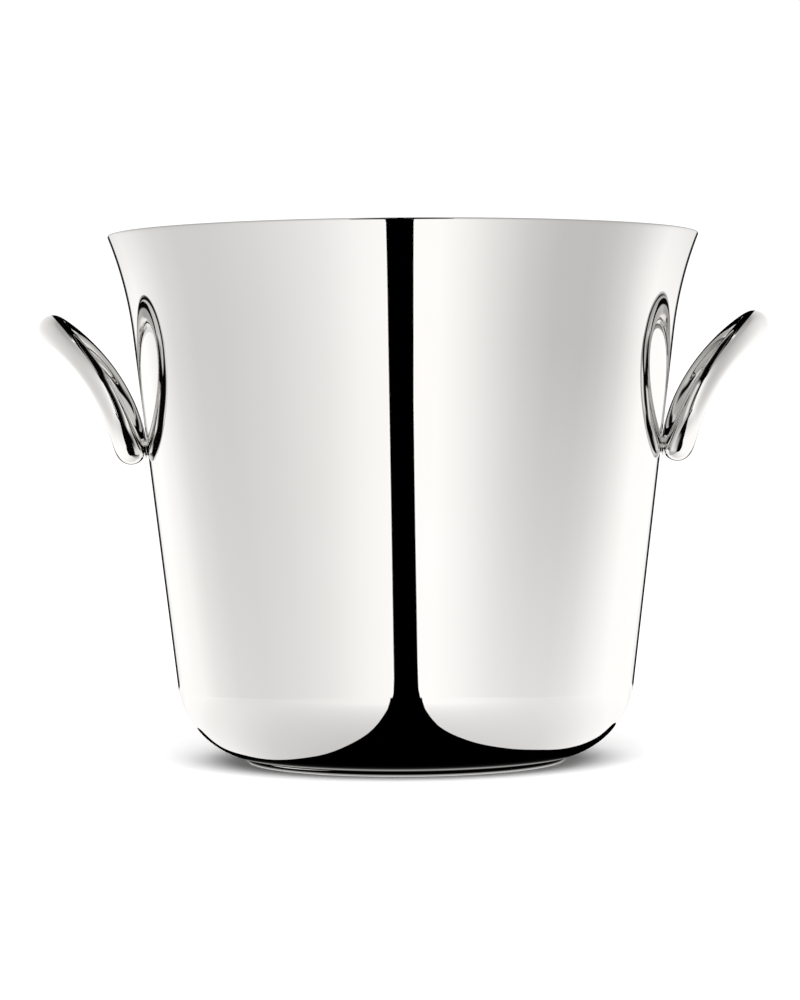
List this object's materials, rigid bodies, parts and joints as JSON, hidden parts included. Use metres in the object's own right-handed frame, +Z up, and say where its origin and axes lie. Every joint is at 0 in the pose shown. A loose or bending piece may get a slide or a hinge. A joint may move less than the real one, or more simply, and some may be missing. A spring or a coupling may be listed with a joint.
{
  "type": "champagne bucket",
  "caption": "Polished silver champagne bucket with a flared plain lip, rounded bottom, low foot ring and fixed ring handles at its sides.",
  "frame": {"origin": "on the table plane, under the middle of the bucket", "axes": "+Z up along the bucket's axis of turning; +X towards the right handle, with the left handle at -X; -Y is the front that the picture shows"},
  "size_m": [0.2924, 0.236, 0.2105],
  "materials": {
    "silver_plate": "mirror-polished silver plate on spun brass",
    "cast_silver": "mirror-polished silver plate on cast brass",
    "screw_silver": "polished silver plate on turned brass"
  },
  "bodies": {
    "root": {"body_shell": "silver_plate", "foot_ring": "silver_plate", "left_handle": "cast_silver", "right_handle": "cast_silver", "left_handle_collar": "cast_silver", "right_handle_collar": "cast_silver", "left_handle_screw": "screw_silver", "right_handle_screw": "screw_silver"}
  },
  "joints": []
}
